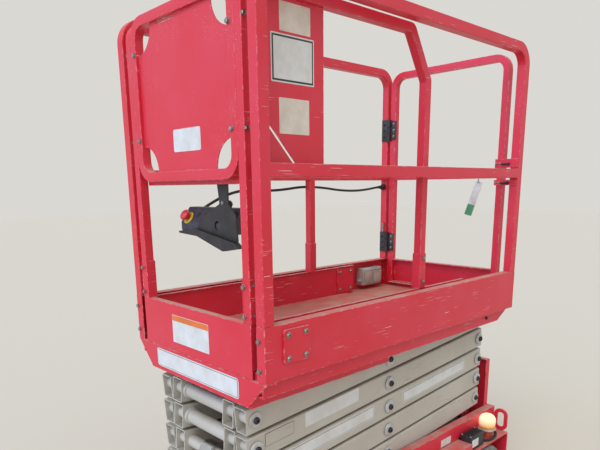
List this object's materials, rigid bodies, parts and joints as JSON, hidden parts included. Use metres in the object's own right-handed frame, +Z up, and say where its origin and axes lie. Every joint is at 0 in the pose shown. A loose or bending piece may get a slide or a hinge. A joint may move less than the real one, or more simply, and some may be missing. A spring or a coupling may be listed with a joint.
{
  "type": "electric slab scissor lift",
  "caption": "Compact electric scissor lift with a roll-out railed platform on stacked scissor arms over a four-wheel base.",
  "frame": {"origin": "on the floor under the middle of the overall box", "axes": "+X to the roll-out end, +Y to the left, +Z up"},
  "size_m": [1.54, 0.76, 2.05],
  "materials": {
    "red_paint": "worn gloss",
    "arm_paint": "satin",
    "tyre": "matt",
    "rim": "satin",
    "black_steel": "satin",
    "steel": "polished",
    "black_plastic": "matt",
    "cable": "matt",
    "amber": "gloss",
    "grey_box": "matt"
  },
  "bodies": {
    "chassis": {"chassis_frame": "red_paint", "roller_channels": "red_paint", "rear_pivot": "red_paint", "side_cover_left": "red_paint", "side_cover_right": "red_paint", "battery_pack": "black_steel", "drive_units": "black_steel", "pothole_guards": "black_steel", "entry_ladder": "red_paint", "beacon": "amber", "corner_loops": "red_paint", "charger_box": "black_plastic"},
    "inner_1": {"inner_arms_1": "arm_paint"},
    "outer_1": {"outer_arms_1": "arm_paint"},
    "inner_2": {"inner_arms_2": "arm_paint"},
    "outer_2": {"outer_arms_2": "arm_paint"},
    "inner_3": {"inner_arms_3": "arm_paint"},
    "outer_3": {"outer_arms_3": "arm_paint"},
    "inner_4": {"inner_arms_4": "arm_paint"},
    "outer_4": {"outer_arms_4": "arm_paint"},
    "inner_5": {"inner_arms_5": "arm_paint"},
    "outer_5": {"outer_arms_5": "arm_paint"},
    "platform": {"platform_deck": "red_paint", "toe_board_left": "red_paint", "toe_board_right": "red_paint", "guardrail_left": "red_paint", "guardrail_right": "red_paint", "gate_hinges": "black_plastic", "outlet_box": "grey_box", "cable_plug": "black_plastic"},
    "barrel": {"lift_barrel": "black_steel"},
    "rod": {"lift_rod": "steel"},
    "extension": {"extension_deck": "red_paint", "extension_rail_left": "red_paint", "extension_rail_right": "red_paint", "front_guard": "red_paint", "side_panel": "red_paint", "control_box": "black_plastic", "control_cable": "cable"},
    "gate": {"gate": "red_paint"},
    "steering_left": {"knuckle_left": "black_steel"},
    "steering_right": {"knuckle_right": "black_steel"},
    "tie": {"tie_rod": "steel"},
    "wheel_front_left": {"tyre_front_left": "tyre", "rim_front_left": "rim"},
    "wheel_front_right": {"tyre_front_right": "tyre", "rim_front_right": "rim"},
    "wheel_rear_left": {"tyre_rear_left": "tyre", "rim_rear_left": "rim"},
    "wheel_rear_right": {"tyre_rear_right": "tyre", "rim_rear_right": "rim"}
  },
  "joints": [
    {"name": "lift", "type": "hinge", "parent": "chassis", "child": "inner_1", "pos_m": [-0.65, 0, 0.358], "axis": [0, -1, 0], "range_deg": [0, 47.81]},
    {"name": "outer_1_fold", "type": "hinge", "parent": "inner_1", "child": "outer_1", "pos_m": [0.03267, 0, 0.408], "axis": [0, 1, 0], "range_deg": [0, 96.02]},
    {"name": "inner_2_fold", "type": "hinge", "parent": "outer_1", "child": "inner_2", "pos_m": [-0.65, 0, 0.458], "axis": [0, -1, 0], "range_deg": [0, 96.02]},
    {"name": "outer_2_fold", "type": "hinge", "parent": "inner_2", "child": "outer_2", "pos_m": [0.03267, 0, 0.508], "axis": [0, 1, 0], "range_deg": [0, 96.02]},
    {"name": "inner_3_fold", "type": "hinge", "parent": "outer_2", "child": "inner_3", "pos_m": [-0.65, 0, 0.558], "axis": [0, -1, 0], "range_deg": [0, 96.02]},
    {"name": "outer_3_fold", "type": "hinge", "parent": "inner_3", "child": "outer_3", "pos_m": [0.03267, 0, 0.608], "axis": [0, 1, 0], "range_deg": [0, 96.02]},
    {"name": "inner_4_fold", "type": "hinge", "parent": "outer_3", "child": "inner_4", "pos_m": [-0.65, 0, 0.658], "axis": [0, -1, 0], "range_deg": [0, 96.02]},
    {"name": "outer_4_fold", "type": "hinge", "parent": "inner_4", "child": "outer_4", "pos_m": [0.03267, 0, 0.708], "axis": [0, 1, 0], "range_deg": [0, 96.02]},
    {"name": "inner_5_fold", "type": "hinge", "parent": "outer_4", "child": "inner_5", "pos_m": [-0.65, 0, 0.758], "axis": [0, -1, 0], "range_deg": [0, 96.02]},
    {"name": "outer_5_fold", "type": "hinge", "parent": "inner_5", "child": "outer_5", "pos_m": [0.03267, 0, 0.808], "axis": [0, 1, 0], "range_deg": [0, 96.02]},
    {"name": "platform_level", "type": "hinge", "parent": "outer_5", "child": "platform", "pos_m": [-0.65, 0, 0.858], "axis": [0, -1, 0], "range_deg": [0, 48.01]},
    {"name": "cylinder_tilt", "type": "hinge", "parent": "inner_1", "child": "barrel", "pos_m": [-0.4452, 0, 0.373], "axis": [0, -1, 0], "range_deg": [0, 13.59]},
    {"name": "cylinder_stroke", "type": "slide", "parent": "barrel", "child": "rod", "axis": [0.9875, 0, 0.1574], "range_m": [0, 0.9482]},
    {"name": "roll_out", "type": "slide", "parent": "platform", "child": "extension", "axis": [1, 0, 0], "range_m": [0, 0.51]},
    {"name": "gate_swing", "type": "hinge", "parent": "platform", "child": "gate", "pos_m": [-0.675, -0.332, 1.3], "axis": [0, 0, -1], "range_deg": [0, 84]},
    {"name": "steer_left", "type": "hinge", "parent": "chassis", "child": "steering_left", "pos_m": [0.53, 0.262, 0.127], "axis": [0, 0, 1], "range_deg": [-45, 45]},
    {"name": "steer_right", "type": "hinge", "parent": "chassis", "child": "steering_right", "pos_m": [0.53, -0.262, 0.127], "axis": [0, 0, 1], "range_deg": [-45, 45]},
    {"name": "tie_swing", "type": "hinge", "parent": "steering_left", "child": "tie", "pos_m": [0.42, 0.262, 0.138], "axis": [0, 0, 1], "range_deg": [-45, 45]},
    {"name": "wheel_front_left_spin", "type": "hinge", "parent": "steering_left", "child": "wheel_front_left", "pos_m": [0.53, 0.342, 0.127], "axis": [0, 1, 0], "continuous": true},
    {"name": "wheel_front_right_spin", "type": "hinge", "parent": "steering_right", "child": "wheel_front_right", "pos_m": [0.53, -0.342, 0.127], "axis": [0, 1, 0], "continuous": true},
    {"name": "wheel_rear_left_spin", "type": "hinge", "parent": "chassis", "child": "wheel_rear_left", "pos_m": [-0.59, 0.342, 0.127], "axis": [0, 1, 0], "continuous": true},
    {"name": "wheel_rear_right_spin", "type": "hinge", "parent": "chassis", "child": "wheel_rear_right", "pos_m": [-0.59, -0.342, 0.127], "axis": [0, 1, 0], "continuous": true}
  ],
  "couplings": [
    {"joint": "outer_1_fold", "follows": "lift", "ratio": 2},
    {"joint": "inner_2_fold", "follows": "lift", "ratio": 2},
    {"joint": "outer_2_fold", "follows": "lift", "ratio": 2},
    {"joint": "inner_3_fold", "follows": "lift", "ratio": 2},
    {"joint": "outer_3_fold", "follows": "lift", "ratio": 2},
    {"joint": "inner_4_fold", "follows": "lift", "ratio": 2},
    {"joint": "outer_4_fold", "follows": "lift", "ratio": 2},
    {"joint": "inner_5_fold", "follows": "lift", "ratio": 2},
    {"joint": "outer_5_fold", "follows": "lift", "ratio": 2},
    {"joint": "platform_level", "follows": "lift", "ratio": 1},
    {"joint": "cylinder_tilt", "follows": "lift", "ratio": 0.27997},
    {"joint": "cylinder_stroke", "follows": "lift", "m_per_rad": 1.1328},
    {"joint": "steer_right", "follows": "steer_left", "ratio": 1},
    {"joint": "tie_swing", "follows": "steer_left", "ratio": -1}
  ]
}
